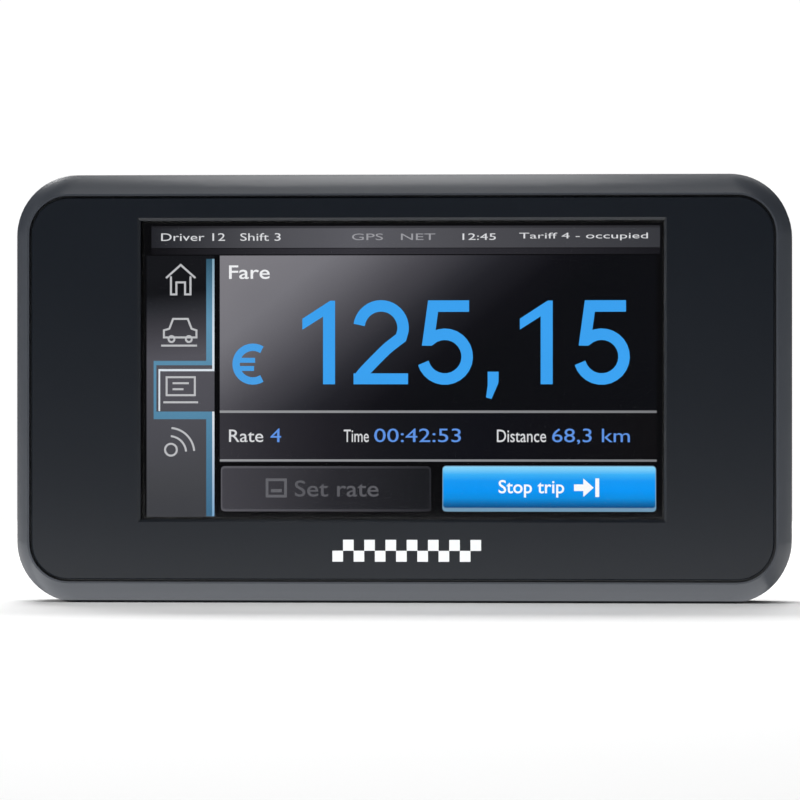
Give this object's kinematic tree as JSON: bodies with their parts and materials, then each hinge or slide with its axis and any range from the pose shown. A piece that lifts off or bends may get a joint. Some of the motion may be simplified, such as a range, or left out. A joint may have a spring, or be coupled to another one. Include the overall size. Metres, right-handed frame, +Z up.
{
  "type": "taxi meter",
  "caption": "Flat dashboard taxi meter: a wide touch screen in a grey-rimmed case, with a card slot, a service port behind a small door and connectors on its back.",
  "frame": {"origin": "bottom centre of the whole unit's bounding box; the unit stands on its lower edge", "axes": "+Z up, the screen faces -Y, +X to the right of someone reading the screen"},
  "size_m": [0.142, 0.0336, 0.0784],
  "materials": {
    "grey_case_plastic": "satin paint on moulded plastic",
    "dark_panel": "fine satin",
    "touch_glass": "clear, gloss",
    "screen_black": "black glass",
    "foam": "matt foam",
    "steel": "bright pressed sheet",
    "screw_steel": "zinc plated",
    "black_screw": "black oxide",
    "white_plastic": "matt",
    "ivory_plastic": "matt",
    "flex_film": "amber film",
    "board_green": "solder resist",
    "chip_black": "moulded epoxy",
    "tin": "tin plated",
    "capacitor_sleeve": "drawn can",
    "speaker_steel": "zinc plated",
    "black_plastic": "fine texture",
    "trim_plastic": "satin",
    "header_black": "fine texture",
    "gold": "gold plated",
    "brass": "turned",
    "rear_black": "spark texture",
    "key_rubber": "matt silicone",
    "seal_rubber": "matt",
    "seal_red": "gloss",
    "label_silver": "satin foil"
  },
  "bodies": {
    "case": {"antenna_contacts": "gold", "antenna_cores": "white_plastic", "antenna_jacks": "gold", "antenna_nuts": "gold", "antenna_washers": "screw_steel", "backlight": "white_plastic", "board_screws": "screw_steel", "card_contacts": "gold", "card_slot_trim": "trim_plastic", "case_gasket": "seal_rubber", "case_screws": "black_screw", "cell_holder": "black_plastic", "chassis_plate": "steel", "chassis_screws": "screw_steel", "clock_cell": "steel", "face_panel": "dark_panel", "front_case": "grey_case_plastic", "harness_contacts": "gold", "harness_header": "header_black", "lcd_cell": "screen_black", "lcd_frame": "steel", "lcd_socket": "ivory_plastic", "lcd_tail": "flex_film", "main_board": "board_green", "modem_module": "tin", "mount_inserts": "brass", "panel_tape": "foam", "power_switch": "black_plastic", "processor": "chip_black", "processor_shield": "tin", "rating_plate": "label_silver", "reader_base": "black_plastic", "reader_cover": "steel", "rear_cover": "rear_black", "satellite_receiver": "tin", "seal_plugs": "seal_red", "service_door_pin": "screw_steel", "sim_card": "white_plastic", "sim_holder": "steel", "speaker": "speaker_steel", "speaker_pad": "foam", "supply_capacitors": "capacitor_sleeve", "supply_coil": "chip_black", "touch_panel": "touch_glass", "usb_socket": "tin", "usb_tongue": "white_plastic", "window_gasket": "foam"},
    "key": {"power_key": "key_rubber", "switch_plunger": "white_plastic"},
    "door": {"service_door": "rear_black"},
    "flap": {"card_slot_flap": "trim_plastic"}
  },
  "joints": [
    {"name": "power_key_press", "type": "slide", "parent": "case", "child": "key", "axis": [0, 0, -1], "range_m": [0, 0.0005], "stiffness_N_per_m": 2500, "springref_m": -0.0002},
    {"name": "service_door_swing", "type": "hinge", "parent": "case", "child": "door", "pos_m": [-0.0698, -0.00105, 0.0329], "axis": [0, -1, 0], "range_deg": [0, 95]},
    {"name": "card_flap_swing", "type": "hinge", "parent": "case", "child": "flap", "pos_m": [0.06875, -0.00275, 0.0392], "axis": [0, 0, 1], "range_deg": [0, 85], "stiffness_Nm_per_rad": 0.0004, "springref_deg": -17.19}
  ]
}
